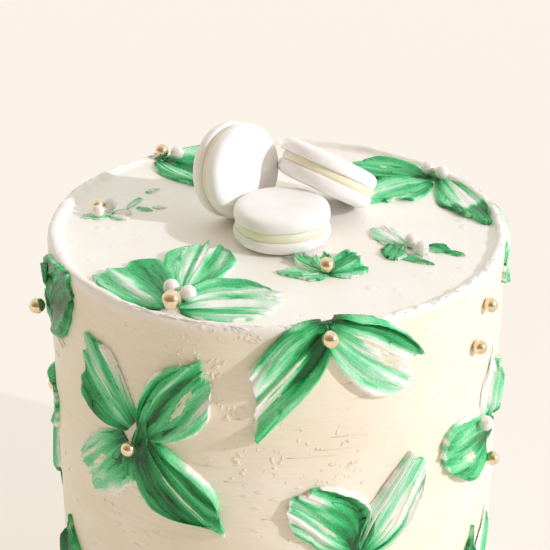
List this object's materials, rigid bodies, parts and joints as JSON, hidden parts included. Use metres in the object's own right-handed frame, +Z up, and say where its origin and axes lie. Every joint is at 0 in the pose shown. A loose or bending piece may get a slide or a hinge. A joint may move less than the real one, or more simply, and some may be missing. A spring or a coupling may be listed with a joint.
{
  "type": "birthday cake",
  "caption": "Tall round iced birthday cake with green knife-painted buttercream flowers, gold and white sugar pearls, and macarons grouped on top.",
  "frame": {"origin": "Centre of the cake's underside, on the base plane.", "axes": "+Z points up through the top of the cake. -Y is the front that the picture shows and +X is to its right."},
  "size_m": [0.2141, 0.2121, 0.2317],
  "materials": {
    "icing": "satin",
    "cream": "satin",
    "macaron_shell": "matte",
    "macaron_filling": "matte",
    "pearl_gold": "pearlescent",
    "pearl_white": "pearlescent"
  },
  "bodies": {
    "root": {"back_flower_five": "cream", "back_flower_five_pearl_1": "pearl_gold", "back_flower_four": "cream", "back_flower_four_pearl_1": "pearl_gold", "back_flower_one": "cream", "back_flower_one_pearl_1": "pearl_gold", "back_flower_three": "cream", "back_flower_three_pearl_1": "pearl_gold", "back_flower_two": "cream", "back_flower_two_pearl_1": "pearl_gold", "cake": "icing", "leaning_macaron_filling": "macaron_filling", "leaning_macaron_lower_shell": "macaron_shell", "leaning_macaron_upper_shell": "macaron_shell", "lone_wall_pearl_1": "pearl_gold", "lone_wall_pearl_2": "pearl_gold", "lying_macaron_filling": "macaron_filling", "lying_macaron_lower_shell": "macaron_shell", "lying_macaron_upper_shell": "macaron_shell", "rim_front_flower": "cream", "rim_front_flower_pearl_1": "pearl_gold", "rim_left_flower": "cream", "rim_left_flower_pearl_1": "pearl_gold", "rim_right_flower": "cream", "rim_right_flower_pearl_1": "pearl_gold", "standing_macaron_filling": "macaron_filling", "standing_macaron_lower_shell": "macaron_shell", "standing_macaron_upper_shell": "macaron_shell", "top_back_left_flower": "cream", "top_back_left_flower_pearl_1": "pearl_gold", "top_back_left_flower_pearl_2": "pearl_white", "top_back_right_flower": "cream", "top_back_right_flower_pearl_1": "pearl_white", "top_back_right_flower_pearl_2": "pearl_white", "top_front_dab": "cream", "top_front_dab_pearl_1": "pearl_gold", "top_front_flower": "cream", "top_front_flower_pearl_1": "pearl_gold", "top_front_flower_pearl_2": "pearl_white", "top_front_flower_pearl_3": "pearl_white", "top_left_dab": "cream", "top_left_dab_pearl_1": "pearl_gold", "top_left_dab_pearl_2": "pearl_white", "top_left_dab_pearl_3": "pearl_white", "top_right_dab": "cream", "top_right_dab_pearl_1": "pearl_white", "top_right_dab_pearl_2": "pearl_white", "wall_far_left_flower": "cream", "wall_far_left_flower_pearl_1": "pearl_gold", "wall_left_flower": "cream", "wall_left_flower_pearl_1": "pearl_gold", "wall_low_front_flower": "cream", "wall_low_left_flower": "cream", "wall_low_right_flower": "cream", "wall_right_flower": "cream", "wall_right_flower_pearl_1": "pearl_white", "wall_right_flower_pearl_2": "pearl_gold"}
  },
  "joints": []
}
